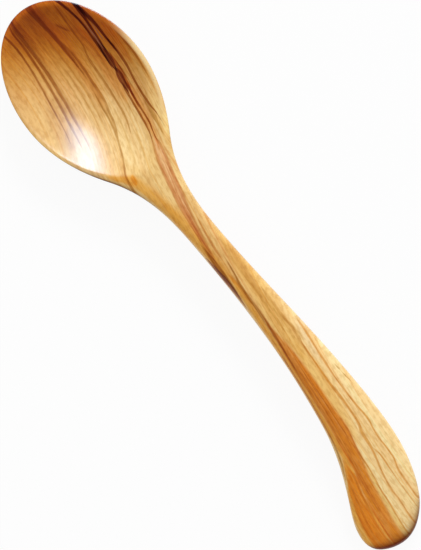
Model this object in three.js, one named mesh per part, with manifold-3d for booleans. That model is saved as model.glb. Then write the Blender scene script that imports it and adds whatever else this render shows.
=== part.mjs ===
// A cooking spoon carved from one plank of olive wood: an egg-shaped bowl, a slim neck, and a handle that
// widens and bends sideways to a round end. It is one solid, because the grain runs through it unbroken.
// Millimetres, +Z up. X runs from the bowl to the handle's end, and the bowl opens upwards.

import * as THREE from 'three';
import { mergeVertices } from 'three/addons/utils/BufferGeometryUtils.js';
import Module from 'manifold-3d';

// Outline seen from above: places along the length from the bowl's tip, and full widths there
const LENGTH = 300;
const BOWL_AT = 46.5;
const BOWL_WIDTH = 63.6;
const SHOULDER_AT = 87.5;
const SHOULDER_WIDTH = 36.2;
const SHOULDER_TAPER = -0.64;
const NECK_AT = 137;
const NECK_WIDTH = 13.8;
const GRIP_AT = 238;
const GRIP_WIDTH = 25.2;
const GRIP_FLARE = 0.087;
const END_AT = 278.5;
const END_WIDTH = 32.4;
const END_SQUARENESS = 2.25;

// Centre line seen from above: its offsets to one side, and its headings as sideways run per length
const TIP_HEADING = 0.05;
const NECK_END_AT = 123;
const NECK_END_OFFSET = 10.2;
const NECK_END_HEADING = 0.1;
const BEND_AT = 220;
const BEND_OFFSET = 19.2;
const BEND_HEADING = 0.03;
const HOOK_AT = 279;
const HOOK_OFFSET = 12.5;
const HOOK_HEADING = -0.4;
const END_HEADING = -0.43;

// Heights above the table the spoon lies on: its top line, its widest line and its underside, with the slopes
// of these lines as rise per length
const RIM_TOP = 17.2;
const RIM_EDGE = 16;
const NECK_TOP = 18.8;
const NECK_EDGE = 13.4;
const NECK_EDGE_SLOPE = -0.02;
const NECK_UNDER = 6.8;
const NECK_UNDER_SLOPE = 0.04;
const GRIP_TOP = 17.2;
const GRIP_TOP_SLOPE = -0.09;
const GRIP_EDGE = 12;
const GRIP_EDGE_SLOPE = -0.08;
const GRIP_UNDER = 7;
const GRIP_UNDER_SLOPE = -0.1;
const END_TOP = 8.8;
const END_TOP_SLOPE = -0.16;
const END_EDGE = 4.6;
const END_EDGE_SLOPE = -0.12;
const HEEL_SLOPE = -0.02;
const SANDED_OFF = 0.4;
const SANDER_THICKNESS = 10;

// Hollow of the bowl
const HOLLOW_HEIGHT = 16.6;
const HOLLOW_DEPTH = 10.8;
const HOLLOW_WIDTH = 60.4;
const HOLLOW_TO_TIP = 45.4;
const HOLLOW_TO_NECK = 45;
const HOLLOW_FULLNESS = 2.1;
const RIM_ROUNDING = 0.9;

// Roundness of the cross-section: 2 is an ellipse, and more is squarer
const TOP_ROUNDNESS = 2.4;
const UNDER_ROUNDNESS = 2;

// Fineness of the facets
const TIP_STEPS = 12;
const SIDE_STEPS = 44;
const END_STEPS = 10;
const TOP_STEPS = 14;
const UNDER_STEPS = 9;

// At the two round ends the facets fan out from this share of the way to the edge
const TIP_FAN = 0.15;
const END_FAN = 0.35;

// Points closer than this are one point
const SAME_POINT = 0.0001;

// A smooth curve through knots of [place, value, slope]: one cubic between each two
function smoothCurve(knots) {
  return (place) => {
    let i = 0;
    while (i < knots.length - 2 && place > knots[i + 1][0]) i += 1;
    const [from, valueFrom, slopeFrom] = knots[i];
    const [to, valueTo, slopeTo] = knots[i + 1];
    const span = to - from;
    const t = (place - from) / span;
    const easeIn = t * t * (3 - 2 * t);
    const leave = t * (1 - t) * (1 - t) * span * slopeFrom;
    const arrive = t * t * (t - 1) * span * slopeTo;
    return valueFrom + (valueTo - valueFrom) * easeIn + leave + arrive;
  };
}

const halfWidth = smoothCurve([
  [BOWL_AT, BOWL_WIDTH / 2, 0],
  [SHOULDER_AT, SHOULDER_WIDTH / 2, SHOULDER_TAPER],
  [NECK_AT, NECK_WIDTH / 2, 0],
  [GRIP_AT, GRIP_WIDTH / 2, GRIP_FLARE],
  [END_AT, END_WIDTH / 2, 0],
]);

const centreLine = smoothCurve([
  [0, 0, TIP_HEADING],
  [NECK_END_AT, NECK_END_OFFSET, NECK_END_HEADING],
  [BEND_AT, BEND_OFFSET, BEND_HEADING],
  [HOOK_AT, HOOK_OFFSET, HOOK_HEADING],
  [LENGTH, 0, END_HEADING],
]);

const topLine = smoothCurve([
  [0, RIM_TOP, 0],
  [BOWL_AT, RIM_TOP, 0],
  [NECK_AT, NECK_TOP, 0],
  [GRIP_AT, GRIP_TOP, GRIP_TOP_SLOPE],
  [LENGTH, END_TOP, END_TOP_SLOPE],
]);

const edgeLine = smoothCurve([
  [0, RIM_EDGE, 0],
  [BOWL_AT, RIM_EDGE, 0],
  [NECK_AT, NECK_EDGE, NECK_EDGE_SLOPE],
  [GRIP_AT, GRIP_EDGE, GRIP_EDGE_SLOPE],
  [LENGTH, END_EDGE, END_EDGE_SLOPE],
]);

const underLine = smoothCurve([
  [0, -SANDED_OFF, 0],
  [BOWL_AT, -SANDED_OFF, 0],
  [NECK_AT, NECK_UNDER, NECK_UNDER_SLOPE],
  [GRIP_AT, GRIP_UNDER, GRIP_UNDER_SLOPE],
  [END_AT, -SANDED_OFF / 2, HEEL_SLOPE],
  [LENGTH, -SANDED_OFF / 2, 0],
]);

// The outline of one side as rays: each starts on the centre line and ends on the edge
function outlineRays() {
  const rays = [];
  for (let i = 0; i < TIP_STEPS; i += 1) {
    const turn = (Math.PI / 2) * (i / TIP_STEPS);
    const edge = BOWL_AT * (1 - Math.cos(turn));
    const half = (BOWL_WIDTH / 2) * Math.sin(turn);
    rays.push({ foot: BOWL_AT + TIP_FAN * (edge - BOWL_AT), edge, half });
  }
  for (let i = 0; i <= SIDE_STEPS; i += 1) {
    const edge = BOWL_AT + (END_AT - BOWL_AT) * (i / SIDE_STEPS);
    rays.push({ foot: edge, edge, half: halfWidth(edge) });
  }
  for (let i = 1; i <= END_STEPS; i += 1) {
    const turn = (Math.PI / 2) * (i / END_STEPS);
    const edge = END_AT + (LENGTH - END_AT) * Math.sin(turn) ** (2 / END_SQUARENESS);
    const across = i === END_STEPS ? 0 : Math.cos(turn) ** (2 / END_SQUARENESS);
    const half = (END_WIDTH / 2) * across;
    rays.push({ foot: END_AT + END_FAN * (edge - END_AT), edge, half });
  }
  return rays;
}

// Height of the gouged hollow, a dish on an egg-shaped plan that goes on rising outside its rim
function hollowHeight(along, across) {
  const reach = along < BOWL_AT ? HOLLOW_TO_TIP : HOLLOW_TO_NECK;
  const radius = Math.hypot((along - BOWL_AT) / reach, across / (HOLLOW_WIDTH / 2));
  return HOLLOW_HEIGHT - HOLLOW_DEPTH * (1 - radius ** HOLLOW_FULLNESS);
}

// The lower of two heights, with the corner between them rounded over
function roundedLower(a, b) {
  return (a + b - Math.hypot(a - b, RIM_ROUNDING)) / 2;
}

// A round profile that is 1 on the centre line and falls to 0 at the edge
function bulge(share, roundness) {
  return Math.max(0, 1 - share ** roundness) ** (1 / roundness);
}

function topHeight(along, across, share) {
  const edge = edgeLine(along);
  const carved = edge + (topLine(along) - edge) * bulge(share, TOP_ROUNDNESS);
  return share < 1 ? roundedLower(carved, hollowHeight(along, across)) : carved;
}

function underHeight(along, share) {
  const edge = edgeLine(along);
  return edge - (edge - underLine(along)) * bulge(share, UNDER_ROUNDNESS);
}

// Carries a point of the straight spoon onto the curved centre line
function bend(along, across, height) {
  const step = 0.01;
  const slope = (centreLine(along + step) - centreLine(along - step)) / (2 * step);
  const stretch = Math.hypot(1, slope);
  return [along - (across * slope) / stretch, centreLine(along) + across / stretch, height];
}

// The whole skin: rings of points round the spoon, from the top's centre line over the edge to the
// underside's centre line
function spoonSkin() {
  const rays = outlineRays();
  const farSide = rays.slice(1, -1).reverse().map((ray) => ({ ...ray, half: -ray.half }));
  const round = [...rays, ...farSide];
  const positions = [];
  const ring = (share, height) => {
    for (const { foot, edge, half } of round) {
      const along = foot + share * (edge - foot);
      const across = share * half;
      positions.push(...bend(along, across, height(along, across)));
    }
  };
  for (let j = 0; j <= TOP_STEPS; j += 1) {
    const share = j === TOP_STEPS ? 1 : Math.sin((Math.PI / 2) * (j / TOP_STEPS));
    ring(share, (along, across) => topHeight(along, across, share));
  }
  for (let j = UNDER_STEPS - 1; j >= 0; j -= 1) {
    const share = Math.sin((Math.PI / 2) * (j / UNDER_STEPS));
    ring(share, (along) => underHeight(along, share));
  }
  const index = [];
  const count = round.length;
  for (let j = 0; j < TOP_STEPS + UNDER_STEPS; j += 1) {
    for (let i = 0; i < count; i += 1) {
      const next = (i + 1) % count;
      const a = j * count + i;
      const b = j * count + next;
      index.push(a, b, a + count, b, b + count, a + count);
    }
  }
  const geometry = new THREE.BufferGeometry();
  geometry.setAttribute('position', new THREE.Float32BufferAttribute(positions, 3));
  geometry.setIndex(index);
  return geometry;
}

const wasm = await Module();
wasm.setup();

function solidOf(geometry) {
  geometry.deleteAttribute('normal');
  geometry.deleteAttribute('uv');
  const merged = mergeVertices(geometry, SAME_POINT);
  const mesh = new wasm.Mesh({
    numProp: 3,
    vertProperties: new Float32Array(merged.attributes.position.array),
    triVerts: new Uint32Array(merged.index.array),
  });
  mesh.merge();
  return new wasm.Manifold(mesh);
}

function geometryOf(solid) {
  const mesh = solid.getMesh();
  const geometry = new THREE.BufferGeometry();
  geometry.setAttribute('position', new THREE.BufferAttribute(mesh.vertProperties, 3));
  geometry.setIndex(new THREE.BufferAttribute(mesh.triVerts, 1));
  return geometry;
}

// The underside is sanded flat where the spoon touches the table: under the bowl and under the handle's end
const belowTable = new THREE.BoxGeometry(2 * LENGTH, 2 * LENGTH, SANDER_THICKNESS);
belowTable.translate(LENGTH / 2, 0, -SANDER_THICKNESS / 2);
const spoon = geometryOf(solidOf(spoonSkin()).subtract(solidOf(belowTable)));

// The origin goes under the middle of the spoon's box, on the table
spoon.computeBoundingBox();
const middle = spoon.boundingBox.getCenter(new THREE.Vector3());
spoon.translate(-middle.x, -middle.y, 0);
spoon.computeVertexNormals();

const oliveWood = new THREE.MeshStandardMaterial({ color: 0xc18b45, roughness: 0.45, metalness: 0 });
const woodenSpoon = new THREE.Mesh(spoon, oliveWood);
woodenSpoon.name = 'wooden_spoon';

const group = new THREE.Group();
group.add(woodenSpoon);
export default group;
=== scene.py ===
import math
import bpy
import numpy as np
from mathutils import Matrix, Vector


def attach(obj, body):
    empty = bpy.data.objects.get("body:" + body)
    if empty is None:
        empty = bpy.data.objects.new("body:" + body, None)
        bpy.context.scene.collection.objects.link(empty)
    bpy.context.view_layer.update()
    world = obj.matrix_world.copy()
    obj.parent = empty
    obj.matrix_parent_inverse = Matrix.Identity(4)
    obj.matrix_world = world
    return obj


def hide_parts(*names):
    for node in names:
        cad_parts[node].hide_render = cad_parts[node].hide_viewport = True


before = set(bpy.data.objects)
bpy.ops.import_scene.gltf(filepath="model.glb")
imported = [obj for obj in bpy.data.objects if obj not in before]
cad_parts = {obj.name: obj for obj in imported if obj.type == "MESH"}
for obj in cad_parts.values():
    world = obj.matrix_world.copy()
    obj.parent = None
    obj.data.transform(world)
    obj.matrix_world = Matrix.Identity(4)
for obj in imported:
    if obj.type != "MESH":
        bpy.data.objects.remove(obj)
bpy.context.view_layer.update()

# Camera
# It looks almost straight down on the spoon as it lies on its back, turned so that the bowl is at the upper
# left of an upright picture and the handle's end at the lower right, and both ends nearly touch its borders.
PICTURE_WIDTH = 421
PICTURE_HEIGHT = 550
CAMERA_TURN = math.radians(55.89)
CAMERA_RISE = math.radians(86)
LENS_MM = 100
SENSOR_MM = 36
PIXELS_PER_METRE = 2175
AIM_POINT = Vector((-0.0008, -0.0031, 0.013))
AIM_PIXEL = (203.5, 278.1)

camera_data = bpy.data.cameras.new("camera")
camera_data.lens = LENS_MM
camera_data.sensor_width = SENSOR_MM
camera = bpy.data.objects.new("camera", camera_data)
bpy.context.collection.objects.link(camera)
bpy.context.scene.camera = camera
picture_right = Vector((math.cos(CAMERA_TURN), math.sin(CAMERA_TURN), 0))
towards_camera = Vector((
    math.sin(CAMERA_TURN) * math.cos(CAMERA_RISE),
    -math.cos(CAMERA_TURN) * math.cos(CAMERA_RISE),
    math.sin(CAMERA_RISE),
))
picture_up = towards_camera.cross(picture_right)
camera_distance = LENS_MM / SENSOR_MM * PICTURE_HEIGHT / PIXELS_PER_METRE
camera_axes = Matrix((picture_right, picture_up, towards_camera)).transposed().to_4x4()
camera.matrix_world = Matrix.Translation(AIM_POINT + towards_camera * camera_distance) @ camera_axes
camera_data.shift_x = (PICTURE_WIDTH / 2 - AIM_PIXEL[0]) / PICTURE_HEIGHT
camera_data.shift_y = (AIM_PIXEL[1] - PICTURE_HEIGHT / 2) / PICTURE_HEIGHT

# Wooden spoon
# One plank of olive wood, sawn to a curved outline, gouged out for the bowl and rounded all over by sanding.
# Bowl, neck and handle are one piece, so the grain passes through it without a break.
MM = 0.001
LENGTH = 300 * MM
BOWL_AT = 46.5 * MM
BOWL_WIDTH = 63.6 * MM
END_AT = 278.5 * MM
END_WIDTH = 32.4 * MM
END_SQUARENESS = 2.25
HALF_WIDTHS = [
    (BOWL_AT, BOWL_WIDTH / 2, 0),
    (87.5 * MM, 18.1 * MM, -0.64),
    (137 * MM, 6.9 * MM, 0),
    (238 * MM, 12.6 * MM, 0.087),
    (END_AT, END_WIDTH / 2, 0),
]
CENTRE_LINE = [
    (0, 0, 0.05),
    (123 * MM, 10.2 * MM, 0.1),
    (220 * MM, 19.2 * MM, 0.03),
    (279 * MM, 12.5 * MM, -0.4),
    (LENGTH, 0, -0.43),
]
TOP_LINE = [
    (0, 17.2 * MM, 0),
    (BOWL_AT, 17.2 * MM, 0),
    (137 * MM, 18.8 * MM, 0),
    (238 * MM, 17.2 * MM, -0.09),
    (LENGTH, 8.8 * MM, -0.16),
]
EDGE_LINE = [
    (0, 16 * MM, 0),
    (BOWL_AT, 16 * MM, 0),
    (137 * MM, 13.4 * MM, -0.02),
    (238 * MM, 12 * MM, -0.08),
    (LENGTH, 4.6 * MM, -0.12),
]
SANDED_OFF = 0.4 * MM
UNDER_LINE = [
    (0, -SANDED_OFF, 0),
    (BOWL_AT, -SANDED_OFF, 0),
    (137 * MM, 6.8 * MM, 0.04),
    (238 * MM, 7 * MM, -0.1),
    (END_AT, -SANDED_OFF / 2, -0.02),
    (LENGTH, -SANDED_OFF / 2, 0),
]
HOLLOW_HEIGHT = 16.6 * MM
HOLLOW_DEPTH = 10.8 * MM
HOLLOW_WIDTH = 60.4 * MM
HOLLOW_TO_TIP = 45.4 * MM
HOLLOW_TO_NECK = 45 * MM
HOLLOW_FULLNESS = 2.1
RIM_ROUNDING = 0.9 * MM
TOP_ROUNDNESS = 2.4
UNDER_ROUNDNESS = 2
TIP_FAN = 0.15
END_FAN = 0.35
SHOULDER_AT = 2.3 * BOWL_AT
TIP_STEPS = 56
BOWL_STEPS = 110
HANDLE_STEPS = 130
END_STEPS = 44
TOP_STEPS = 80
UNDER_STEPS = 34
SLOPE_STEP = 0.01 * MM
MERGE_DIGITS = 8


def smooth_curve(knots, place):
    """A curve through knots of (place, value, slope): one cubic between each two, which starts and ends with
    the values and slopes of its knots."""
    at, value, slope = np.array(knots, dtype=float).T
    knot = np.clip(np.searchsorted(at, place) - 1, 0, len(at) - 2)
    span = at[knot + 1] - at[knot]
    part = (place - at[knot]) / span
    rise = (value[knot + 1] - value[knot]) * part**2 * (3 - 2 * part)
    leave = part * (1 - part) ** 2 * span * slope[knot]
    arrive = part**2 * (part - 1) * span * slope[knot + 1]
    return value[knot] + rise + leave + arrive


def outline_rays():
    """Rays from the centre line to the edge of one side: a quarter ellipse at the tip, the half-width curve
    along the sides, and a quarter of a squarish ellipse at the handle's end. Gives the places along the
    length of each ray's foot and edge, and its edge's distance from the centre line."""
    turn = np.linspace(0, math.pi / 2, TIP_STEPS, endpoint=False)
    tip = BOWL_AT * (1 - np.cos(turn))
    tip_half = BOWL_WIDTH / 2 * np.sin(turn)
    bowl = np.linspace(BOWL_AT, SHOULDER_AT, BOWL_STEPS, endpoint=False)
    side = np.concatenate([bowl, np.linspace(SHOULDER_AT, END_AT, HANDLE_STEPS)])
    turn = np.linspace(0, math.pi / 2, END_STEPS + 1)[1:]
    end = END_AT + (LENGTH - END_AT) * np.sin(turn) ** (2 / END_SQUARENESS)
    end_half = END_WIDTH / 2 * np.cos(turn).clip(0) ** (2 / END_SQUARENESS)
    end_half[-1] = 0
    tip_foot = BOWL_AT + TIP_FAN * (tip - BOWL_AT)
    end_foot = END_AT + END_FAN * (end - END_AT)
    foot = np.concatenate([tip_foot, side, end_foot])
    edge = np.concatenate([tip, side, end])
    half = np.concatenate([tip_half, smooth_curve(HALF_WIDTHS, side), end_half])
    return foot, edge, half


def bulge(share, roundness):
    """A round profile: 1 on the centre line, falling to 0 at the edge as a squarish ellipse does."""
    return (1 - share**roundness).clip(0) ** (1 / roundness)


def top_height(along, across, share):
    """The rounded top, lowered by a dish on an egg-shaped plan, with the corner between the two eased."""
    edge = smooth_curve(EDGE_LINE, along)
    carved = edge + (smooth_curve(TOP_LINE, along) - edge) * bulge(share, TOP_ROUNDNESS)
    reach = np.where(along < BOWL_AT, HOLLOW_TO_TIP, HOLLOW_TO_NECK)
    radius = np.hypot((along - BOWL_AT) / reach, across / (HOLLOW_WIDTH / 2))
    hollow = HOLLOW_HEIGHT - HOLLOW_DEPTH * (1 - radius**HOLLOW_FULLNESS)
    eased = (carved + hollow - np.hypot(carved - hollow, RIM_ROUNDING)) / 2
    return np.where(share < 1, eased, carved)


def under_height(along, share):
    """The underside: a half ellipse below the widest line, sanded flat where it meets the table."""
    edge = smooth_curve(EDGE_LINE, along)
    belly = edge - (edge - smooth_curve(UNDER_LINE, along)) * bulge(share, UNDER_ROUNDNESS)
    return belly.clip(0)


def spoon_mesh(name):
    """Rings of points round the spoon, from the top's centre line over the edge to the underside's centre
    line. Each point lies a share of the way along its ray, is raised to the top's or the underside's height,
    and is then carried onto the curved centre line."""
    foot, edge, half = outline_rays()
    foot = np.concatenate([foot, foot[-2:0:-1]])
    edge = np.concatenate([edge, edge[-2:0:-1]])
    half = np.concatenate([half, -half[-2:0:-1]])
    top_share = np.sin(np.linspace(0, math.pi / 2, TOP_STEPS + 1))
    under_share = np.sin(np.linspace(math.pi / 2, 0, UNDER_STEPS + 1))[1:]
    share = np.concatenate([top_share, under_share])[:, None]
    along = foot + share * (edge - foot)
    across = share * half
    share = np.broadcast_to(share, along.shape)
    on_top = np.arange(len(share))[:, None] <= TOP_STEPS
    height = np.where(on_top, top_height(along, across, share), under_height(along, share))
    ahead = smooth_curve(CENTRE_LINE, along + SLOPE_STEP)
    behind = smooth_curve(CENTRE_LINE, along - SLOPE_STEP)
    slope = (ahead - behind) / (2 * SLOPE_STEP)
    stretch = np.hypot(1, slope)
    x = along - across * slope / stretch
    y = smooth_curve(CENTRE_LINE, along) + across / stretch
    points = np.stack([x - (x.min() + x.max()) / 2, y - (y.min() + y.max()) / 2, height], axis=-1)
    rows, columns = along.shape
    here = np.arange(rows * columns).reshape(rows, columns)
    beside = np.roll(here, -1, axis=1)
    quads = np.stack([here[:-1], beside[:-1], beside[1:], here[1:]], axis=-1).reshape(-1, 4)
    rounded = points.reshape(-1, 3).round(MERGE_DIGITS)
    points, merged = np.unique(rounded, axis=0, return_inverse=True)
    quads = merged.reshape(-1)[quads]
    mesh = bpy.data.meshes.new(name)
    mesh.from_pydata(points.tolist(), [], quads.tolist())
    mesh.polygons.foreach_set("use_smooth", np.ones(len(mesh.polygons), dtype=bool))
    mesh.validate()
    mesh.update()
    return mesh


spoon = bpy.data.objects.new("olive_wood_spoon", spoon_mesh("olive_wood_spoon"))
bpy.context.collection.objects.link(spoon)

# The wood's grain: a solid pattern in millimetres, measured along the grain and across it. The plank was cut
# with its growth layers leaning, so a layer moves sideways as it goes deeper.
GRAIN_TURN = math.radians(3.5)
LAYER_LEAN = 0.58
RIM_HEIGHT_MM = HOLLOW_HEIGHT / MM
MM_PER_METRE = 1 / MM
NOISE_MIDDLE = 0.5

wood = bpy.data.materials.new("olive_wood")
wood.use_nodes = True
tree = wood.node_tree
nodes = tree.nodes
links = tree.links
shader = nodes["Principled BSDF"]


def feed(tree, socket, value):
    """Gives an input its value: a number, a colour of three numbers, or another node's output to link."""
    if isinstance(value, bpy.types.NodeSocket):
        tree.links.new(value, socket)
    elif isinstance(value, tuple):
        socket.default_value = (*value, 1)
    elif value is not None:
        socket.default_value = value


def math_node(tree, operation, first, second=None, third=None):
    """A math node in a tree. Each operand is a number or a socket."""
    node = tree.nodes.new("ShaderNodeMath")
    node.operation = operation
    for socket, value in zip(node.inputs, (first, second, third)):
        feed(tree, socket, value)
    return node.outputs[0]


def ease_node(tree, value, start, stop):
    """A smooth step from 0 at start to 1 at stop."""
    node = tree.nodes.new("ShaderNodeMapRange")
    node.interpolation_type = "SMOOTHSTEP"
    for socket, operand in zip(node.inputs, (value, start, stop)):
        feed(tree, socket, operand)
    return node.outputs[0]


coordinates = nodes.new("ShaderNodeTexCoord")
plank = nodes.new("ShaderNodeMapping")
plank.inputs["Scale"].default_value = (MM_PER_METRE, MM_PER_METRE, MM_PER_METRE)
plank.inputs["Rotation"].default_value = (0, 0, GRAIN_TURN)
links.new(coordinates.outputs["Object"], plank.inputs["Vector"])
split = nodes.new("ShaderNodeSeparateXYZ")
links.new(plank.outputs["Vector"], split.inputs["Vector"])
along_grain = split.outputs["X"]
depth = math_node(tree, "SUBTRACT", split.outputs["Z"], RIM_HEIGHT_MM)
layer = math_node(tree, "MULTIPLY_ADD", depth, LAYER_LEAN, split.outputs["Y"])
turned = nodes.new("ShaderNodeMapping")
turned.vector_type = "NORMAL"
turned.inputs["Rotation"].default_value = (0, 0, GRAIN_TURN)
links.new(coordinates.outputs["Normal"], turned.inputs["Vector"])
facing = nodes.new("ShaderNodeSeparateXYZ")
links.new(turned.outputs["Vector"], facing.inputs["Vector"])


def grain_noise(across, along, detail, shift):
    """Noise from 0 to 1, drawn out along the grain: so many cells per millimetre across it and along it."""
    place = nodes.new("ShaderNodeCombineXYZ")
    links.new(math_node(tree, "MULTIPLY", along_grain, along), place.inputs["X"])
    links.new(math_node(tree, "MULTIPLY_ADD", layer, across, shift), place.inputs["Y"])
    noise = nodes.new("ShaderNodeTexNoise")
    noise.inputs["Scale"].default_value = 1
    noise.inputs["Detail"].default_value = detail
    links.new(place.outputs["Vector"], noise.inputs["Vector"])
    return noise.outputs["Fac"]


def mixed(blend, factor, first, second):
    """A colour mix of the given blend type. The factor is a number or a socket, and the colours are of three
    numbers or sockets."""
    node = nodes.new("ShaderNodeMix")
    node.data_type = "RGBA"
    node.blend_type = blend
    node.clamp_result = True
    for label, value in (("Factor", factor), ("A", first), ("B", second)):
        feed(tree, node.inputs[label], value)
    return node.outputs["Result"]


# The layers waver along the grain: slowly, finely, and in tiny steps that make every edge a little ragged.
SLOW_WAVER_MM = 0.6
FINE_WAVER_MM = 0.45
TINY_WAVER_MM = 0.3
slow_noise = grain_noise(across=0.05, along=0.018, detail=1, shift=3.7)
fine_noise = grain_noise(across=0.35, along=0.07, detail=2, shift=11.2)
tiny_noise = grain_noise(across=1.3, along=0.3, detail=2, shift=17.9)
slow = math_node(tree, "SUBTRACT", slow_noise, NOISE_MIDDLE)
fine = math_node(tree, "SUBTRACT", fine_noise, NOISE_MIDDLE)
tiny = math_node(tree, "SUBTRACT", tiny_noise, NOISE_MIDDLE)
wavered = math_node(tree, "MULTIPLY_ADD", slow, SLOW_WAVER_MM, layer)
wavered = math_node(tree, "MULTIPLY_ADD", fine, FINE_WAVER_MM, wavered)
wavered = math_node(tree, "MULTIPLY_ADD", tiny, TINY_WAVER_MM, wavered)

# Ground: honey-coloured summer wood between paler spring wood, in bands a few millimetres wide, with finer
# amber lines over them.
PALE_HONEY = (0.97, 0.69, 0.302)
HONEY = (0.90, 0.588, 0.234)
AMBER_LINE = (0.93, 0.80, 0.58)
BANDS_EASE = (0.35, 0.68)
RINGS_EASE = (0.48, 0.72)
bands = ease_node(tree, grain_noise(across=0.30, along=0.004, detail=2, shift=0.0), *BANDS_EASE)
colour = mixed("MIX", bands, PALE_HONEY, HONEY)
rings = ease_node(tree, grain_noise(across=1.1, along=0.008, detail=2, shift=5.1), *RINGS_EASE)
colour = mixed("MULTIPLY", rings, colour, AMBER_LINE)

# Heartwood and painted shade: towards the bowl's tip the ground goes brown, layer by layer, and farther on
# the right than on the left. The heartwood's brown is deepened there as painted shade on the hollow's wall
# at the tip, which faces away from the lamp. The ramp's colours multiply the ground's, and its places are in
# millimetres along the grain. The outside of the bowl, which faces down, gets less of the ramp and is paler.
HEART_AND_SHADE_SLANT = -0.5
HEART_AND_SHADE_STREAKS_MM = 16
OUTSIDE_PALER = 0.42
OUTSIDE_FACING = (0.05, -0.4)
HEART_AND_SHADE_RAMP = [
    (-156, (0.48, 0.130, 0.008)),
    (-143, (0.56, 0.190, 0.012)),
    (-130, (0.575, 0.228, 0.018)),
    (-123, (0.61, 0.305, 0.046)),
    (-115, (0.70, 0.445, 0.165)),
    (-107, (0.78, 0.600, 0.370)),
    (-100, (0.84, 0.700, 0.550)),
    (-90, (0.89, 0.830, 0.770)),
    (-70, (0.94, 0.930, 0.900)),
    (-20, (1, 1, 1)),
]
heart_and_shade_start = HEART_AND_SHADE_RAMP[0][0]
heart_and_shade_stop = HEART_AND_SHADE_RAMP[-1][0]
streaky_noise = grain_noise(across=0.45, along=0.004, detail=3, shift=41.0)
streaky = math_node(tree, "SUBTRACT", streaky_noise, NOISE_MIDDLE)
heart_and_shade_place = math_node(tree, "MULTIPLY_ADD", layer, HEART_AND_SHADE_SLANT, along_grain)
heart_and_shade_place = math_node(tree, "MULTIPLY_ADD", streaky, HEART_AND_SHADE_STREAKS_MM, heart_and_shade_place)
heart_and_shade_range = nodes.new("ShaderNodeMapRange")
links.new(heart_and_shade_place, heart_and_shade_range.inputs["Value"])
heart_and_shade_range.inputs["From Min"].default_value = heart_and_shade_start
heart_and_shade_range.inputs["From Max"].default_value = heart_and_shade_stop
heart_and_shade = nodes.new("ShaderNodeValToRGB")
links.new(heart_and_shade_range.outputs["Result"], heart_and_shade.inputs["Fac"])
while len(heart_and_shade.color_ramp.elements) < len(HEART_AND_SHADE_RAMP):
    heart_and_shade.color_ramp.elements.new(position=0.5)
for element, (place, stain) in zip(heart_and_shade.color_ramp.elements, HEART_AND_SHADE_RAMP):
    element.position = (place - heart_and_shade_start) / (heart_and_shade_stop - heart_and_shade_start)
    element.color = (*stain, 1)
outside = ease_node(tree, facing.outputs["Z"], *OUTSIDE_FACING)
heart_and_shade_strength = math_node(tree, "MULTIPLY_ADD", outside, -OUTSIDE_PALER, 1)
# Heartwood brown and painted shade, weaker on the outside of the bowl
colour = mixed("MULTIPLY", heart_and_shade_strength, colour, heart_and_shade.outputs["Color"])

# Veins: the darker and lighter layers one by one. A vein follows a curve over the distance along the grain,
# and another curve gives its half-width, so that it swells and tapers. Outside that its mask eases to
# nothing over the softness of its edges. A half-width below zero makes it fainter, until it is gone. All
# veins are streaky inside and uneven along their length.
STREAKS_EASE = (0.3, 0.6)
BREAKS_EASE = (0.25, 0.55)
FAINTEST = 0.72
STREAKS_ADD = 0.16
BREAKS_ADD = 0.12
streaks = ease_node(tree, grain_noise(across=0.8, along=0.008, detail=3, shift=21.0), *STREAKS_EASE)
breaks = ease_node(tree, grain_noise(across=0.5, along=0.07, detail=3, shift=27.0), *BREAKS_EASE)
evenness = math_node(tree, "MULTIPLY_ADD", streaks, STREAKS_ADD, FAINTEST)
evenness = math_node(tree, "MULTIPLY_ADD", breaks, BREAKS_ADD, evenness)


def vein_group():
    """The mask of one vein, from the place across the grain, the vein's middle and half-width there, and the
    softness of its left and right edges, all in millimetres."""
    group = bpy.data.node_groups.new("wood_vein", "ShaderNodeTree")
    for label in ("Across", "Middle", "Half width", "Left edge", "Right edge"):
        group.interface.new_socket(label, in_out="INPUT", socket_type="NodeSocketFloat")
    group.interface.new_socket("Mask", in_out="OUTPUT", socket_type="NodeSocketFloat")
    given = group.nodes.new("NodeGroupInput").outputs
    result = group.nodes.new("NodeGroupOutput")
    away = math_node(group, "SUBTRACT", given["Across"], given["Middle"])
    left_depth = math_node(group, "ADD", given["Half width"], away)
    right_depth = math_node(group, "SUBTRACT", given["Half width"], away)
    left_start = math_node(group, "MULTIPLY", given["Left edge"], -1)
    right_start = math_node(group, "MULTIPLY", given["Right edge"], -1)
    inside_left = ease_node(group, left_depth, left_start, 0)
    inside_right = ease_node(group, right_depth, right_start, 0)
    group.links.new(math_node(group, "MULTIPLY", inside_left, inside_right), result.inputs["Mask"])
    return group


vein_mask = vein_group()


def curve_along(points):
    """A smooth curve through points of (distance along the grain, value)."""
    node = nodes.new("ShaderNodeFloatCurve")
    node.mapping.use_clip = False
    node.mapping.extend = "HORIZONTAL"
    curve = node.mapping.curves[0]
    curve.points[0].location = points[0]
    curve.points[1].location = points[-1]
    for place, value in points[1:-1]:
        curve.points.new(place, value)
    for point in curve.points:
        point.handle_type = "AUTO_CLAMPED"
    node.mapping.update()
    links.new(along_grain, node.inputs["Value"])
    return node.outputs["Value"]


def vein(ground, stain, edges, points, blend="MULTIPLY"):
    """Lays one vein over the ground colour, which its stain multiplies or, as a mix, covers. The edges are
    the softness on its left and right, and the points are (along, across, half-width), in millimetres."""
    left_edge, right_edge = edges
    node = nodes.new("ShaderNodeGroup")
    node.node_tree = vein_mask
    feed(tree, node.inputs["Across"], wavered)
    feed(tree, node.inputs["Middle"], curve_along([(place, middle) for place, middle, half in points]))
    feed(tree, node.inputs["Half width"], curve_along([(place, half) for place, middle, half in points]))
    feed(tree, node.inputs["Left edge"], left_edge)
    feed(tree, node.inputs["Right edge"], right_edge)
    strength = math_node(tree, "MULTIPLY", node.outputs["Mask"], evenness)
    return mixed(blend, strength, ground, stain)


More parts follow.
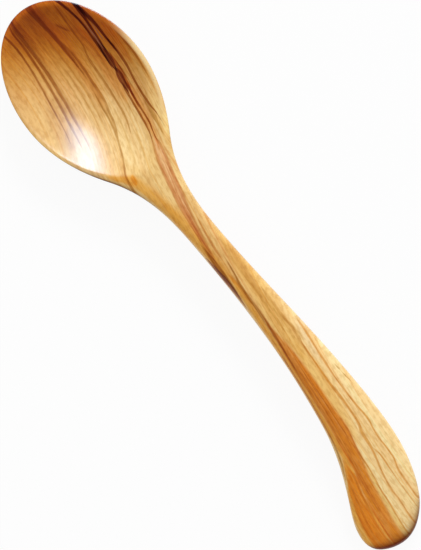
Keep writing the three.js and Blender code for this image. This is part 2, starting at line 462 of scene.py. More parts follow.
# Broad changes of colour, which lie under the lines
ROSE = (0.98, 0.845, 0.940)
ORANGE = (0.96, 0.690, 0.260)
GOLD = (0.92, 0.805, 0.570)
AMBER = (1, 0.920, 0.700)
SAPWOOD_AND_PAINTED_LIGHT = (1.10, 1.200, 1.420)
TAN = (0.85, 0.760, 0.640)
PALE_TAN = (0.84, 0.840, 0.980)
BROWN_LIGHT = (1.16, 1.340, 0.900)
RED_HEART = (0.97, 0.800, 0.620)
RED_TAN = (0.92, 0.690, 0.480)
PAINTED_LIGHT_SIDE = (1.18, 1.260, 1.320)
PALE_BLUISH = (1.08, 1.150, 1.320)

# Rosy wood in the neck, round the main vein's strands
colour = vein(colour, ROSE, edges=(0.9, 0.9), points=[
    (-72, 9.3, -1), (-62, 9.3, 1.2), (-52, 8.4, 1.5), (-42, 7.4, 1.4), (-32, 6.6, 1), (-18, 6, 0.4),
    (-6, 6, -1),
])
# Orange along the neck's left edge: orange wood, deepened as painted shade where the edge slopes away from
# the lamp
colour = vein(colour, ORANGE, edges=(2, 4.5), points=[
    (-64, -19, -2), (-60, -14.5, 0.8), (-56.5, -9.8, 1.6), (-50, -6.2, 1.2), (-40, -2.8, 1.5),
    (-28, 0.9, 2.1), (-15, 3, 1.4), (-4, 5.4, 0.9), (4, 7.2, 0), (12, 8.6, -2),
])
# Golden and then amber wood on the right of the neck and in the handle
colour = vein(colour, GOLD, edges=(3.5, 3.5), points=[
    (-30, 12, -3.5), (-8, 14.6, 0.6), (5, 15.8, 1.6), (20, 16.6, 1.9), (32, 17, 2.2), (45, 18, 1.4),
    (62, 19, -3.5),
])
colour = vein(colour, AMBER, edges=(3.5, 3.5), points=[
    (36, 19.5, -3.5), (52, 19.5, 0), (62, 19.5, 1.8), (75, 19.8, 1.4), (90, 19.8, 0), (104, 19, -2),
    (118, 18, -3.5),
])
# Orange along the handle's left edge, widest at the round end: orange wood, deepened as painted shade on the
# side away from the lamp
colour = vein(colour, ORANGE, edges=(1.5, 1.2), points=[
    (0, 8.4, -1.5), (12, 9, 1), (30, 9.2, 1.3), (50, 9.8, 1), (70, 10, 0.6), (90, 9.4, 0.9),
    (100, 9.2, 0.8), (108, 8.2, 1), (122, 1.5, 4), (135, -0.8, 4.6), (152, -2, 5),
])
# Pale sapwood on the handle's right, and painted light: it widens over the round end, which slopes away from
# the lamp
colour = vein(colour, SAPWOOD_AND_PAINTED_LIGHT, edges=(5, 5), points=[
    (5, 26, -5), (30, 27, 1), (50, 28.5, 3), (70, 29.5, 4.5), (85, 29, 5), (105, 26.5, 7.5),
    (120, 24, 9), (152, 21, 10),
])
# Painted shade: tan over the bowl's left wall, which faces the lamp, and tan wood a little at the handle's
# right edge
colour = vein(colour, TAN, edges=(5, 5), points=[
    (-114, -26, -5), (-104, -26, 2), (-96, -26, 4), (-88, -26, 2), (-78, -25, -5),
])
colour = vein(colour, PALE_TAN, edges=(3, 3), points=[
    (30, 23.5, -3), (43, 24, -0.9), (55, 24, -1), (68, 24.5, -3),
])
# Lighter brown at the tip
colour = vein(colour, BROWN_LIGHT, edges=(3, 2.5), points=[
    (-152, -2, 1), (-146, -1, 3.5), (-140, 0, 4), (-135, 0.5, 0.5), (-130, 1, -3),
])
# Painted shade: greyer tan on the bowl's left, towards the neck, under the shine, where the lamp falls fully
# on the wall
colour = vein(colour, PALE_TAN, edges=(5, 5), points=[
    (-98, -25, -5), (-88, -25, 1.5), (-78, -24, 4), (-68, -22, 1.5), (-58, -20, -5),
])
# Reddish heartwood in three streaks of the bowl, and beside the main vein
colour = vein(colour, RED_HEART, edges=(3, 1.5), points=[
    (-136, 3.4, -3), (-128, 3.6, 1), (-120, 3.8, 2), (-106, 4, 2), (-95, 4, 0.8), (-84, 4.2, -3),
])
colour = vein(colour, RED_HEART, edges=(2.5, 3), points=[
    (-152, -7.5, 0.5), (-134, -7.5, 1.2), (-116, -7.5, 1.4), (-100, -7.6, 0.6), (-86, -7.6, -3),
])
colour = vein(colour, RED_HEART, edges=(2, 2.5), points=[
    (-130, 15, -2.5), (-119, 16.5, 2.4), (-110, 17, 1.6), (-100, 17.2, -2.5),
])
colour = vein(colour, RED_TAN, edges=(1.2, 1.4), points=[
    (-100, 9.8, -1.4), (-93, 9.4, 1.2), (-86, 9.2, 1.7), (-78, 9.6, 1.6), (-70, 10, 0.8),
    (-58, 9.4, -1.4),
])
# Painted light: paler colour by the bowl's right rim, on the hollow's wall that faces away from the lamp
colour = vein(colour, PAINTED_LIGHT_SIDE, edges=(3, 3), points=[
    (-112, 23, -3), (-103, 23, 0), (-94, 22, 1), (-86, 19.5, 2), (-78, 17.5, 2.5), (-70, 17, 1.5),
    (-62, 16, -3),
])
# Lighter, bluer colour on the left and in the middle of the bowl
colour = vein(colour, PALE_BLUISH, edges=(4, 4), points=[
    (-140, -18, -4), (-126, -18, 1), (-112, -18.5, 2), (-98, -19, 2), (-86, -19, 0), (-74, -19, -4),
])
colour = vein(colour, PALE_BLUISH, edges=(3, 3), points=[
    (-104, -5, -3), (-92, -5, 3), (-80, -4, 7.5), (-68, -3, 7), (-60, -1, 1), (-52, 2, -3),
])
# Tan wood on the right of the neck's strands
colour = vein(colour, TAN, edges=(1.8, 1.8), points=[
    (-46, 9.6, -1.8), (-34, 9.4, 0.6), (-22, 9.2, 1.6), (-10, 9.4, 1.8), (2, 9.8, 1.4), (14, 10, -1.6),
])

# Left side of the bowl: two thin lines, then a line with a soft shoulder
LINE = (0.52, 0.320, 0.110)
FAINT = (0.83, 0.730, 0.550)
colour = vein(colour, LINE, edges=(0.45, 0.5), points=[
    (-144, -25.9, 0.2), (-140, -25.3, 0.25), (-135, -25.4, 0.25), (-130, -25.8, 0.2),
    (-125, -26.2, 0.2), (-120, -26.7, 0.15), (-112, -27.4, 0.1), (-105, -27.7, 0), (-98, -27.6, -0.05),
    (-88, -27.2, -0.1), (-80, -26.9, -0.5),
])
colour = vein(colour, LINE, edges=(0.4, 0.5), points=[
    (-148, -21, 0), (-143, -22.2, 0.2), (-138, -22.6, 0.3), (-130, -23.3, 0.3), (-125, -23.8, 0.3),
    (-120, -24.2, 0.3), (-112, -24.6, 0.3), (-105, -24.8, 0.3), (-98, -24.8, 0.3), (-90, -24.5, 0.2),
    (-84, -24, 0), (-76, -23.5, -0.5),
])
colour = vein(colour, FAINT, edges=(0.6, 1.2), points=[
    (-150, -18.5, 1), (-138, -19.8, 1.1), (-125, -20.7, 0.5), (-110, -21.3, 0.1), (-98, -21, -0.2),
    (-86, -20.5, -0.9),
])
colour = vein(colour, LINE, edges=(0.45, 1), points=[
    (-150, -19.5, 0.3), (-145, -20.5, 0.5), (-140, -21, 0.5), (-130, -21.7, 0.45), (-120, -22.1, 0.4),
    (-110, -22.5, 0.3), (-100, -22.5, 0.2), (-94, -22.3, 0.15), (-88, -21.8, 0), (-82, -21.3, -0.1),
    (-74, -20.8, -0.7),
])

# Faint lines in the middle of the bowl
for points in (
    [
        (-142, -16.2, -0.5), (-130, -16.6, 0.1), (-115, -16.9, 0.1), (-100, -16.8, 0),
        (-84, -16.2, -0.6),
    ],
    [
        (-146, -14, -0.5), (-138, -14.7, 0.2), (-128, -15, 0.1), (-112, -14.6, 0.15), (-98, -14.4, 0.1),
        (-80, -14, -0.6),
    ],
    [
        (-140, -12.4, -0.5), (-129, -12.8, 0.15), (-118, -12.5, 0.1), (-106, -11.9, 0.1),
        (-92, -11.6, 0), (-78, -11.8, -0.6),
    ],
    [
        (-146, 2.6, -0.4), (-138, 2, 0.2), (-128, 2.3, 0.2), (-118, 3.4, 0.5), (-108, 3.2, 0.4),
        (-100, 3, 0.2), (-88, 3.6, 0), (-72, 4.6, -0.8),
    ],
    [
        (-80, 0.4, -0.5), (-73, 1, 0.1), (-66, 1.3, 0.1), (-58, 0.8, -0.5),
    ],
    [
        (-95, -3.6, -0.5), (-80, -3.8, 0), (-62, -4.4, -0.5),
    ],
):
    colour = vein(colour, FAINT, edges=(0.7, 0.7), points=points)

# Middle of the bowl: a band that comes in at the tip and splits into two lines with darker wood between,
# one of them running on to the neck's left edge past a small orange knot, then a thin line with a step in
# it, and a short slanting one
HAIR = (0.66, 0.500, 0.280)
colour = vein(colour, FAINT, edges=(0.8, 0.8), points=[
    (-128, -8, -0.8), (-118, -7.9, 0.9), (-108, -7.8, 0.9), (-97, -8.2, 0.9), (-88, -7.9, 0.6),
    (-78, -8.2, -0.8),
])
colour = vein(colour, LINE, edges=(0.45, 1), points=[
    (-152, -9.6, 1.3), (-146, -9.7, 1), (-140, -9.7, 0.8), (-135, -9.5, 0.7), (-130, -9.3, 0.6),
    (-124, -9.2, 0.4), (-118, -8.9, 0.1), (-110, -8.5, -0.3), (-104, -8.4, -0.9),
])
colour = vein(colour, HAIR, edges=(0.8, 0.5), points=[
    (-132, -8.4, -0.5), (-126, -7.6, 0.2), (-120, -6.9, 0.35), (-112, -6.8, 0.35), (-105, -6.6, 0.35),
    (-100, -6.3, 0.4), (-96, -6.2, 0.35), (-90, -6.7, 0.3), (-84, -7, 0.2), (-79, -7.8, 0),
    (-73, -8.4, -0.6),
])
colour = vein(colour, HAIR, edges=(0.5, 0.5), points=[
    (-106, -8.4, -0.5), (-96, -8.8, 0.2), (-88, -8.4, 0.15), (-80, -8.5, 0.2), (-74, -8.7, 0.2),
    (-66, -9.1, 0.2), (-60, -9.8, 0.25), (-55, -10.3, 0.35), (-51, -10.9, 0.5), (-45, -11.8, 0.5),
])
colour = vein(colour, FAINT, edges=(0.4, 0.4), points=[
    (-68, -8, -0.4), (-65, -8.2, 0.1), (-61, -8.4, -0.4),
])
colour = vein(colour, ORANGE, edges=(1.2, 1.2), points=[
    (-59, -7, -1.2), (-56.5, -7.3, 0.5), (-54.5, -7.5, 0.6), (-51.5, -7.8, -1.2),
])
colour = vein(colour, HAIR, edges=(0.5, 0.6), points=[
    (-148, 1.4, -0.3), (-143, 1.2, 0.15), (-138, 0.6, 0.25), (-133, 0, 0.25), (-127, -0.2, 0.2),
    (-122.5, -0.5, 0.2), (-120, -1.2, 0.2), (-117.5, -1.8, 0.3), (-112, -1.9, 0.3), (-105, -1.6, 0.3),
    (-98, -1.2, 0.3), (-92, -0.8, 0.3), (-86, -0.5, 0.25), (-82, -0.6, 0.15), (-78, -1.1, 0),
    (-73, -1.6, -0.6),
])
colour = vein(colour, HAIR, edges=(0.7, 0.7), points=[
    (-139, -5, -0.6), (-136, -4, 0.2), (-133.5, -2.4, 0.3), (-131, -1, -0.6),
])

# Right of the middle: the dark main vein, two lines that run together into one streak and part again, with a
# reddish shoulder on their right, and greyish strips between them and on their right
CHOCOLATE = (0.22, 0.045, 0.008)
UMBER = (0.30, 0.075, 0.005)
RED_CHOCOLATE = (0.60, 0.270, 0.055)
BROWN_LINE = (0.44, 0.205, 0.040)
GREY_ROSE = (0.33, 0.120, 0.060)
colour = vein(colour, LINE, edges=(0.8, 0.6), points=[
    (-112, 9.8, -0.9), (-105, 10.3, 0.1), (-99, 10.6, -0.1), (-92, 10.7, -0.3), (-84, 11, -0.4),
    (-76, 11.6, -0.8),
])
colour = vein(colour, CHOCOLATE, edges=(0.4, 0.6), points=[
    (-126, 7.6, -0.6), (-121, 7.5, 0.5), (-117, 7.5, 1.2), (-112, 7.5, 1.5), (-108, 7.4, 1),
    (-105, 7.3, 0.2), (-102, 7.2, -0.6),
])
colour = vein(colour, UMBER, edges=(0.4, 0.6), points=[
    (-108, 7.6, -0.6), (-104.5, 7.5, 1.1), (-101, 7.3, 1.6), (-97, 7.1, 0.9), (-91, 6.9, -0.6),
])
colour = vein(colour, RED_CHOCOLATE, edges=(0.4, 0.6), points=[
    (-117, 9.7, -0.6), (-111, 9.5, 0.3), (-106, 9.3, 0.7), (-101, 9.1, 0.8), (-97, 8.8, 0.7),
    (-92, 8.4, 0.4), (-87, 8.2, 0.1), (-81, 8.2, -0.6),
])
colour = vein(colour, CHOCOLATE, edges=(0.4, 0.5), points=[
    (-150, 1.5, 0.2), (-146, 3.4, 0.5), (-143, 4.7, 0.55), (-140, 5.4, 0.5), (-137, 6, 0.45),
    (-133, 6.6, 0.45), (-128, 6.7, 0.45), (-122, 6.5, 0.5), (-116, 6.2, 0.4), (-110, 6, 0.1),
    (-103, 5.8, -0.5),
])
colour = vein(colour, CHOCOLATE, edges=(0.5, 0.5), points=[
    (-146, 8.6, 0.2), (-141, 9.6, 0.5), (-137, 9.9, 0.6), (-133, 9.7, 0.55), (-128, 9.3, 0.5),
    (-123, 8.9, 0.45), (-118, 8.7, 0.2), (-112, 8.8, -0.5),
])
colour = vein(colour, BROWN_LINE, edges=(0.45, 0.45), points=[
    (-101, 6.3, -0.45), (-95, 6.3, 0.5), (-90, 6.5, 0.45), (-84, 6.9, 0.4), (-79, 7.4, 0.35),
    (-75, 7.8, 0.3), (-71, 7.95, 0.1), (-66, 7.5, -0.2), (-60, 7.2, -0.5),
])
colour = vein(colour, BROWN_LINE, edges=(0.45, 0.45), points=[
    (-101, 8.6, -0.45), (-95, 8.5, 0.45), (-90, 8.7, 0.4), (-84, 9.1, 0.35), (-79, 9.7, 0.3),
    (-75, 10.1, 0.25), (-71, 9.9, 0.1), (-68, 9.9, 0), (-65.5, 10.8, -0.2), (-61, 11.2, -0.5),
])
for points in (
    [
        (-134, 8.2, -0.4), (-129, 8, 0.1), (-124, 7.9, 0.2), (-119, 7.8, 0.1), (-115, 7.8, -0.4),
    ],
    [
        (-132, 10.8, -0.4), (-128, 10.9, 0), (-123, 10.7, 0.1), (-118, 10.8, -0.4),
    ],
):
    colour = vein(colour, GREY_ROSE, edges=(0.4, 0.4), points=points, blend="MIX")

# Second vein: dark at the tip, thin farther on, and forked round a brown lens before it leaves over the rim,
# and a soft band near the right rim
colour = vein(colour, CHOCOLATE, edges=(0.5, 0.6), points=[
    (-142, 10, 0.1), (-138, 10.9, 0.4), (-134, 11.7, 0.7), (-130, 12.2, 0.75), (-126, 12.6, 0.65),
    (-120, 12.9, 0.45), (-115, 13.4, 0.2), (-108, 14, -0.5),
])
colour = vein(colour, UMBER, edges=(0.6, 0.6), points=[
    (-146, 8.2, -0.2), (-141, 9.8, 0.6), (-137, 10.6, 0.7), (-133, 10.9, 0.2), (-128, 11, -0.6),
])
colour = vein(colour, BROWN_LINE, edges=(0.45, 0.5), points=[
    (-122, 12.8, -0.5), (-116, 13.3, 0.5), (-111, 13.9, 0.55), (-105, 14, 0.5), (-100, 13.6, 0.45),
    (-95, 13.3, 0.45), (-90, 13.5, 0.4), (-86, 13.9, 0.4), (-83, 14.4, 0.35), (-80, 15.2, 0.2),
    (-77.5, 16, 0.05), (-73, 16.7, -0.15), (-66, 17.4, -0.6),
])
colour = vein(colour, HAIR, edges=(0.5, 0.7), points=[
    (-90, 12.6, -0.5), (-84, 13, 0.3), (-80, 13.6, 0.8), (-77, 13.8, 0.9), (-74, 14.1, 0.4),
    (-69, 14.5, 0.1), (-64, 14.7, -0.6),
])
colour = vein(colour, HAIR, edges=(1, 0.6), points=[
    (-126, 18.6, -0.8), (-117, 20.4, 0), (-110, 21.6, 0.2), (-103, 21.9, 0.2), (-97, 21.9, 0),
    (-91, 21.8, -0.8),
])

# Neck: the main vein's strands, and the dark streak where they leave at the left edge
STRAND = (0.76, 0.535, 0.370)
DARK_EDGE = (0.35, 0.115, 0.004)
colour = vein(colour, STRAND, edges=(0.6, 0.7), points=[
    (-70, 9.9, -0.6), (-66, 10.4, 0.2), (-63, 11.1, 0.4), (-56, 10.6, 0.35), (-50, 9.8, 0.35),
    (-45, 9.3, 0.35), (-40, 8.9, 0.35), (-33, 8.3, 0.3), (-26, 7.9, 0.2), (-18, 7.4, 0),
    (-8, 6.8, -0.6),
])
colour = vein(colour, STRAND, edges=(0.5, 0.5), points=[
    (-64, 9.4, -0.5), (-55, 8.9, -0.1), (-46, 8, 0), (-38, 7.1, 0.1), (-30, 6.4, 0), (-22, 5.9, -0.5),
])
colour = vein(colour, FAINT, edges=(0.4, 0.4), points=[
    (-60, 8.2, -0.4), (-52, 7.6, 0.1), (-44, 7, 0.1), (-36, 6.2, -0.4),
])
colour = vein(colour, FAINT, edges=(0.4, 0.4), points=[
    (-58, 9.9, -0.4), (-50, 9.1, 0.1), (-42, 8.1, 0.1), (-32, 7.5, -0.4),
])
colour = vein(colour, STRAND, edges=(0.6, 0.7), points=[
    (-74, 7.9, -0.6), (-66, 7.5, 0.3), (-56, 6.9, 0.4), (-48, 6.3, 0.4), (-40, 5.8, 0.5),
    (-34, 5.4, 0.6), (-26, 5.6, 0.5), (-18, 5.6, 0.45), (-8, 5.8, 0.3), (0, 6.2, -0.6),
])
colour = vein(colour, STRAND, edges=(0.5, 0.5), points=[
    (-38, 7.4, -0.5), (-30, 7, 0.1), (-22, 6.6, 0.3), (-12, 6.6, 0.3), (-2, 7, -0.5),
])
colour = vein(colour, STRAND, edges=(0.5, 0.5), points=[
    (-30, 9.6, -0.5), (-20, 9.2, 0.1), (-10, 9, 0.2), (0, 9.4, -0.5),
])
colour = vein(colour, LINE, edges=(1.4, 0.9), points=[
    (-20, 4.4, -1.4), (-12, 4.6, -0.2), (-5, 5.2, 0.6), (2, 5.6, 1), (8, 6.4, 0.5), (14, 6.8, -0.1),
    (21, 7.2, -1.4),
])
colour = vein(colour, DARK_EDGE, edges=(1.4, 0.8), points=[
    (-14, 1, -1.2), (-9, 2, -0.6), (-5, 2.8, 0.2), (0, 3.6, 0.8), (5, 4.8, 1.1), (10, 5.6, 0.8),
    (15, 6, 0.4), (20, 6.4, -0.2), (26, 7, -1.2),
])

# Handle's bands: an orange one with faint lines in it, and a second one at the left of the round end, with a
# light stripe and faint lines
BAND = (0.80, 0.380, 0.050)
END_BAND = (0.92, 0.570, 0.155)
LIGHT_STRIPE = (1.06, 1.120, 1.200)
colour = vein(colour, BAND, edges=(0.8, 1.8), points=[
    (28, 11.9, -0.6), (36, 12.2, 0.2), (43, 12.9, 1.1), (50, 13.4, 1.9), (60, 13.9, 2.4),
    (70, 14.2, 2.7), (80, 14.4, 2.9), (90, 14.4, 3.2), (95, 13.9, 3.1), (100, 13.3, 2.8),
    (105, 12.8, 2.5), (110, 12.1, 2.3), (115, 10.9, 2.4), (120, 10, 2.6), (130, 8.9, 2.7),
    (140, 8.2, 2.6), (152, 7.4, 2.6),
])
for points in (
    [
        (40, 13.4, -0.5), (50, 13.2, 0), (65, 13.6, 0.1), (80, 14, 0.1), (95, 13, 0), (108, 11.6, 0.1),
        (122, 9.8, 0), (136, 8.6, -0.5),
    ],
    [
        (52, 14.6, -0.5), (66, 15.2, 0.1), (80, 16, 0.1), (92, 16, 0), (100, 14.6, -0.1),
        (110, 13.2, -0.5),
    ],
    [
        (88, 12.2, -0.5), (97, 11.6, 0.1), (106, 10.8, 0.1), (116, 9.6, 0.1), (128, 8.4, 0),
        (142, 7.4, -0.5),
    ],
):
    colour = vein(colour, FAINT, edges=(0.5, 0.6), points=points)
colour = vein(colour, END_BAND, edges=(1.2, 1.2), points=[
    (97, 7.8, -1.2), (103, 7.2, -0.4), (108, 6.5, 0.9), (114, 5.4, 2.6), (120, 3.4, 2.9),
    (130, 1.8, 3.8), (140, 1, 4.1), (152, 0.2, 4.1),
])
colour = vein(colour, LIGHT_STRIPE, edges=(0.5, 0.5), points=[
    (106, 7.4, -0.5), (115, 6, 0.1), (124, 4.4, 0), (132, 3.2, -0.5),
])
colour = vein(colour, FAINT, edges=(0.5, 0.7), points=[
    (104, 8.2, -0.7), (112, 7.4, 0.1), (122, 5.8, 0.2), (132, 4.4, 0.1), (142, 3.2, -0.6),
])
colour = vein(colour, FAINT, edges=(0.6, 0.6), points=[
    (112, 3.4, -0.6), (119, 2.6, 0.3), (126, 1.4, 0.2), (134, 0, 0.3), (144, -0.6, -0.6),
])
colour = vein(colour, FAINT, edges=(0.6, 0.6), points=[
    (122, -1, -0.6), (129, -2.2, 0.2), (136, -3, 0.3), (144, -3, -0.6),
])

# Lines along the bands' left: a brown one that starts in the neck, and thin ones
colour = vein(colour, LINE, edges=(0.8, 0.8), points=[
    (-8, 11, -0.8), (-1, 11.1, -0.2), (5, 11.1, 0.05), (12, 10.7, 0.25), (18, 11, 0.4),
    (25, 11.6, 0.35), (32, 12, 0.4), (40, 12.2, 0.35), (48, 12.1, 0), (56, 12, -0.2), (66, 12, -0.8),
])
colour = vein(colour, FAINT, edges=(0.5, 0.6), points=[
    (40, 12.1, -0.6), (50, 12, 0.4), (65, 12.1, 0.4), (80, 12.2, 0.3), (90, 11.8, 0.1), (98, 11, -0.6),
])
colour = vein(colour, FAINT, edges=(0.5, 0.5), points=[
    (4, 10, -0.5), (11, 9.9, 0.3), (17, 10.1, 0.3), (23, 10.8, -0.5),
])
colour = vein(colour, HAIR, edges=(0.5, 0.5), points=[
    (44, 8.8, -0.5), (54, 9.2, 0.2), (65, 9.3, 0.2), (78, 9, 0.2), (88, 8.4, 0.25), (95, 7.6, 0.4),
    (101, 6.5, 0.4), (108, 4, 0.3), (116, 0.5, -0.5),
])

# Right of the bands: soft lines where the handle starts, then thin ones with steps and forks in the pale
# wood, golden wood beside the first band, and one short hair
THREAD = (0.78, 0.510, 0.220)
colour = vein(colour, FAINT, edges=(1.4, 1.4), points=[
    (-16, 12.4, -1.4), (-6, 14, 0.4), (2, 15, 1), (10, 15.8, 0.6), (20, 17, 0.2), (30, 18.6, 0),
    (38, 19.6, -0.2), (46, 20, -0.6), (54, 21, -1.4),
])
colour = vein(colour, FAINT, edges=(0.6, 0.6), points=[
    (14, 18, -0.6), (20, 18.6, 0.2), (27, 19.5, 0.3), (35, 20.6, 0.3), (41, 22, 0.2), (45, 22.8, 0.1),
    (50, 22, -0.6),
])
colour = vein(colour, FAINT, edges=(0.6, 0.6), points=[
    (4, 14, -0.6), (13, 15, 0.2), (20, 15.9, 0.2), (26, 16.4, 0.2), (34, 17.3, 0.2), (44, 17.7, -0.6),
])
colour = vein(colour, FAINT, edges=(0.7, 0.6), points=[
    (26, 19.2, -0.7), (34, 20.2, 0), (40, 21.2, 0.2), (45, 21.5, 0.4), (48, 21.2, 0.2), (52, 21.3, 0),
    (58, 21.6, -0.7),
])
colour = vein(colour, THREAD, edges=(0.7, 0.6), points=[
    (44, 21.4, -0.7), (50, 21.6, 0.05), (60, 22.1, 0.1), (68, 22.4, 0.2), (74, 23, 0.3),
    (80, 23.6, 0.3), (90, 23.8, 0.3), (93, 23.5, 0.3), (96, 22.8, 0.4), (100, 22.6, 0.4),
    (104, 22.4, 0.3), (108, 21.8, 0.1), (113, 20.9, 0.05), (118, 20, 0.05), (123, 19.3, 0.05),
    (127, 19.1, 0.05), (131, 19.4, 0), (138, 19, 0), (148, 18.4, 0),
])
colour = vein(colour, THREAD, edges=(0.6, 0.5), points=[
    (103, 22.4, -0.6), (107, 23.3, 0), (111, 24, 0.1), (118, 23.9, 0), (127, 23.8, -0.1),
    (134, 23.9, -0.1), (144, 23.2, -0.2),
])
colour = vein(colour, THREAD, edges=(0.5, 0.6), points=[
    (34, 23.9, -0.6), (40, 24.6, 0), (48, 25.2, 0.1), (58, 25.6, 0.1), (68, 26, 0.05), (76, 26.5, 0),
    (82, 27, 0.1), (86, 27.4, 0.1), (90, 28, 0.15), (93.5, 28.2, 0.15), (97, 27.7, 0.1),
    (102, 27.4, 0.1), (108, 27.9, 0.1), (113, 28, 0.1), (117, 27.2, 0.1), (121, 26.5, 0.1),
    (128, 26.4, 0.05), (135, 26, 0),
])
colour = vein(colour, THREAD, edges=(0.5, 0.5), points=[
    (80, 17.6, -0.5), (88, 18, 0), (92, 18, 0.1), (96, 17.5, 0.1), (101, 16.7, 0.1), (106, 16.3, 0.1),
    (113, 16, 0.1), (118, 15.5, 0.1), (124, 14.9, 0.1), (131, 14.7, 0.1), (137, 14.2, 0.1),
    (148, 13.2, 0.1),
])
colour = vein(colour, GOLD, edges=(1.4, 1.2), points=[
    (96, 16.8, -1.2), (106, 16, 0), (115, 14.8, 0.3), (125, 13.6, 0.5), (135, 12.8, 0.7),
    (150, 11.8, 0.7),
])
colour = vein(colour, HAIR, edges=(0.35, 0.35), points=[
    (62, 28.3, -0.35), (65.5, 28.8, 0), (68, 29.3, -0.15), (70.5, 29.7, 0), (74, 30.4, -0.1),
    (77, 30.8, -0.35),
])

# Fibres: light and dark streaks all over. Coarse ones show from a step away, and fine ones close up, and
# short pores make the wood mottled.
FIBRE = (0.93, 0.865, 0.740)
MOTTLE = (0.87, 0.800, 0.700)
COARSE_EASE = (0.42, 0.72)
FINE_EASE = (0.50, 0.80)
MOTTLE_EASE = (0.42, 0.66)
coarse_fibres = grain_noise(across=1.5, along=0.05, detail=5, shift=57.0)
fine_fibres = grain_noise(across=5.5, along=0.10, detail=3, shift=31.0)
mottling = grain_noise(across=0.85, along=0.28, detail=3, shift=73.0)
colour = mixed("MULTIPLY", ease_node(tree, coarse_fibres, *COARSE_EASE), colour, FIBRE)
colour = mixed("MULTIPLY", ease_node(tree, fine_fibres, *FINE_EASE), colour, FIBRE)
colour = mixed("MULTIPLY", ease_node(tree, mottling, *MOTTLE_EASE), colour, MOTTLE)

# Rim: painted highlight, where the rounded crest of the bowl's right rim catches the lamp, in a paler
# colour.
# Each pair gives where the painted highlight starts and is full, in millimetres: upwards, from the neck,
# from the tip, and across the grain.
RIM_HIGHLIGHT = (0.90, 0.640, 0.300)
RIM_UPWARDS = (15.6, 16.15)
RIM_FROM_NECK = (-70, -84)
RIM_FROM_TIP = (-128, -106)
RIM_ACROSS = (6, 24)
rim_highlight = ease_node(tree, split.outputs["Z"], *RIM_UPWARDS)
rim_highlight = math_node(tree, "MULTIPLY", rim_highlight, ease_node(tree, along_grain, *RIM_FROM_NECK))
rim_highlight = math_node(tree, "MULTIPLY", rim_highlight, ease_node(tree, along_grain, *RIM_FROM_TIP))
rim_highlight = math_node(tree, "MULTIPLY", rim_highlight, ease_node(tree, layer, *RIM_ACROSS))
colour = mixed("MIX", rim_highlight, colour, RIM_HIGHLIGHT)

# End grain: the cut fibres of the handle's end and of the bowl's tip soak up more oil and are darker. At the
# handle's end the darkening is painted shade as well, on the rounded edge that faces away from the lamp.
END_GRAIN_AND_SHADE = (0.24, 0.100, 0.030)
TIP_GRAIN = (0.52, 0.440, 0.380)
END_FACING = (0.2, 0.62)
TIP_FACING = (-0.15, -0.6)
TIP_REACH_MM = (-126, -140)
# Handle's end: end grain and painted shade
end_grain_and_shade = ease_node(tree, facing.outputs["X"], *END_FACING)
colour = mixed("MULTIPLY", end_grain_and_shade, colour, END_GRAIN_AND_SHADE)
tip_grain = ease_node(tree, facing.outputs["X"], *TIP_FACING)
tip_grain = math_node(tree, "MULTIPLY", tip_grain, ease_node(tree, along_grain, *TIP_REACH_MM))
colour = mixed("MULTIPLY", tip_grain, colour, TIP_GRAIN)
links.new(colour, shader.inputs["Base Color"])

# Oiled and rubbed to a satin gloss. The fibres make it very slightly uneven.
ROUGHEST = 0.34
SMOOTHEST = 0.20
GLOSS_LEVEL = 0.35
FINE_FIBRE_HEIGHT = 0.4
BUMP_STRENGTH = 0.25
BUMP_DISTANCE = 0.08 * MM
roughness = math_node(tree, "MULTIPLY_ADD", coarse_fibres, ROUGHEST - SMOOTHEST, SMOOTHEST)
links.new(roughness, shader.inputs["Roughness"])
shader.inputs["Specular IOR Level"].default_value = GLOSS_LEVEL
fibre_height = math_node(tree, "MULTIPLY_ADD", fine_fibres, FINE_FIBRE_HEIGHT, coarse_fibres)
grain_bump = nodes.new("ShaderNodeBump")
grain_bump.inputs["Strength"].default_value = BUMP_STRENGTH
grain_bump.inputs["Distance"].default_value = BUMP_DISTANCE
links.new(fibre_height, grain_bump.inputs["Height"])
links.new(grain_bump.outputs["Normal"], shader.inputs["Normal"])
spoon.data.materials.append(wood)

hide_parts("wooden_spoon")
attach(spoon, "root")

# Table and light
# The spoon lies on a plain white painted table top. A soft lamp low behind the bowl lights it, an even white
# surround fills the shadows, and a second lamp at the same place gives the shine in the bowl's hollow.
TABLE_SIZE = 6.0
TABLE_WHITE = (0.80, 0.80, 0.80)
TABLE_ROUGHNESS = 0.9
TABLE_GLOW = 0.93
WHITE = (1, 1, 1)

table_mesh = bpy.data.meshes.new("table")
half = TABLE_SIZE / 2
corners = [(-half, -half, 0), (half, -half, 0), (half, half, 0), (-half, half, 0)]
table_mesh.from_pydata(corners, [], [(0, 1, 2, 3)])
table = bpy.data.objects.new("table", table_mesh)
bpy.context.collection.objects.link(table)
paint = bpy.data.materials.new("white_table")
paint.use_nodes = True
paint_tree = paint.node_tree
paint_shader = paint_tree.nodes["Principled BSDF"]
feed(paint_tree, paint_shader.inputs["Base Color"], TABLE_WHITE)
feed(paint_tree, paint_shader.inputs["Roughness"], TABLE_ROUGHNESS)
white = paint_tree.nodes.new("ShaderNodeEmission")
feed(paint_tree, white.inputs["Color"], WHITE)

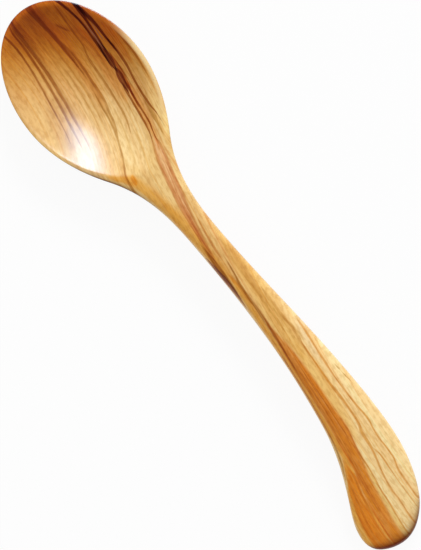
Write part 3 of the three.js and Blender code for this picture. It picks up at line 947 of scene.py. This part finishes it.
# What is seen of the table, directly or in the gloss, is nearly all its own even white, and the rest is the
# lit paint, which keeps the spoon's shadow.
rays = paint_tree.nodes.new("ShaderNodeLightPath").outputs
seen = math_node(paint_tree, "MAXIMUM", rays["Is Camera Ray"], rays["Is Glossy Ray"])
seen = math_node(paint_tree, "MAXIMUM", seen, rays["Is Transmission Ray"])
glow = paint_tree.nodes.new("ShaderNodeMixShader")
paint_tree.links.new(math_node(paint_tree, "MULTIPLY", seen, TABLE_GLOW), glow.inputs["Fac"])
paint_tree.links.new(paint_shader.outputs["BSDF"], glow.inputs[1])
paint_tree.links.new(white.outputs["Emission"], glow.inputs[2])
paint_tree.links.new(glow.outputs["Shader"], paint_tree.nodes["Material Output"].inputs["Surface"])
table_mesh.materials.append(paint)

# The surround isn't seen in the gloss, where it would veil all the wood evenly.
SURROUND_STRENGTH = 0.65
world = bpy.data.worlds.new("surround")
bpy.context.scene.world = world
world.use_nodes = True
background = world.node_tree.nodes["Background"]
feed(world.node_tree, background.inputs["Color"], WHITE)
feed(world.node_tree, background.inputs["Strength"], SURROUND_STRENGTH)
world.cycles_visibility.glossy = False

LAMP_TOWARDS = Vector((-0.60, 0.59, 0.54)).normalized()
LAMP_DISTANCE = 3.5
LAMP_AIM = Vector((-0.04, 0, 0.015))
LAMP_WIDTH = 1.2
LAMP_HEIGHT = 1.0
LAMP_WATTS = 72
lamp_data = bpy.data.lights.new("lamp", "AREA")
lamp_data.shape = "RECTANGLE"
lamp_data.size = LAMP_WIDTH
lamp_data.size_y = LAMP_HEIGHT
lamp_data.energy = LAMP_WATTS
lamp = bpy.data.objects.new("lamp", lamp_data)
bpy.context.collection.objects.link(lamp)
lamp.location = LAMP_AIM + LAMP_TOWARDS * LAMP_DISTANCE
lamp.rotation_euler = LAMP_TOWARDS.to_track_quat("Z", "Y").to_euler()

# The second lamp is taller and cooler, in the same direction, and is seen only in the wood's gloss. The
# first one isn't seen there.
SHINE_WIDTH = 0.95
SHINE_HEIGHT = 2.2
SHINE_WATTS = 240
SHINE_COLOUR = (0.64, 0.80, 1)
shine_data = lamp_data.copy()
shine_data.name = "shine"
shine_data.size = SHINE_WIDTH
shine_data.size_y = SHINE_HEIGHT
shine_data.energy = SHINE_WATTS
shine_data.color = SHINE_COLOUR
shine = bpy.data.objects.new("shine", shine_data)
bpy.context.collection.objects.link(shine)
shine.matrix_world = lamp.matrix_basis
shine.visible_diffuse = False
lamp.visible_glossy = False

bpy.context.scene.view_settings.view_transform = "Standard"
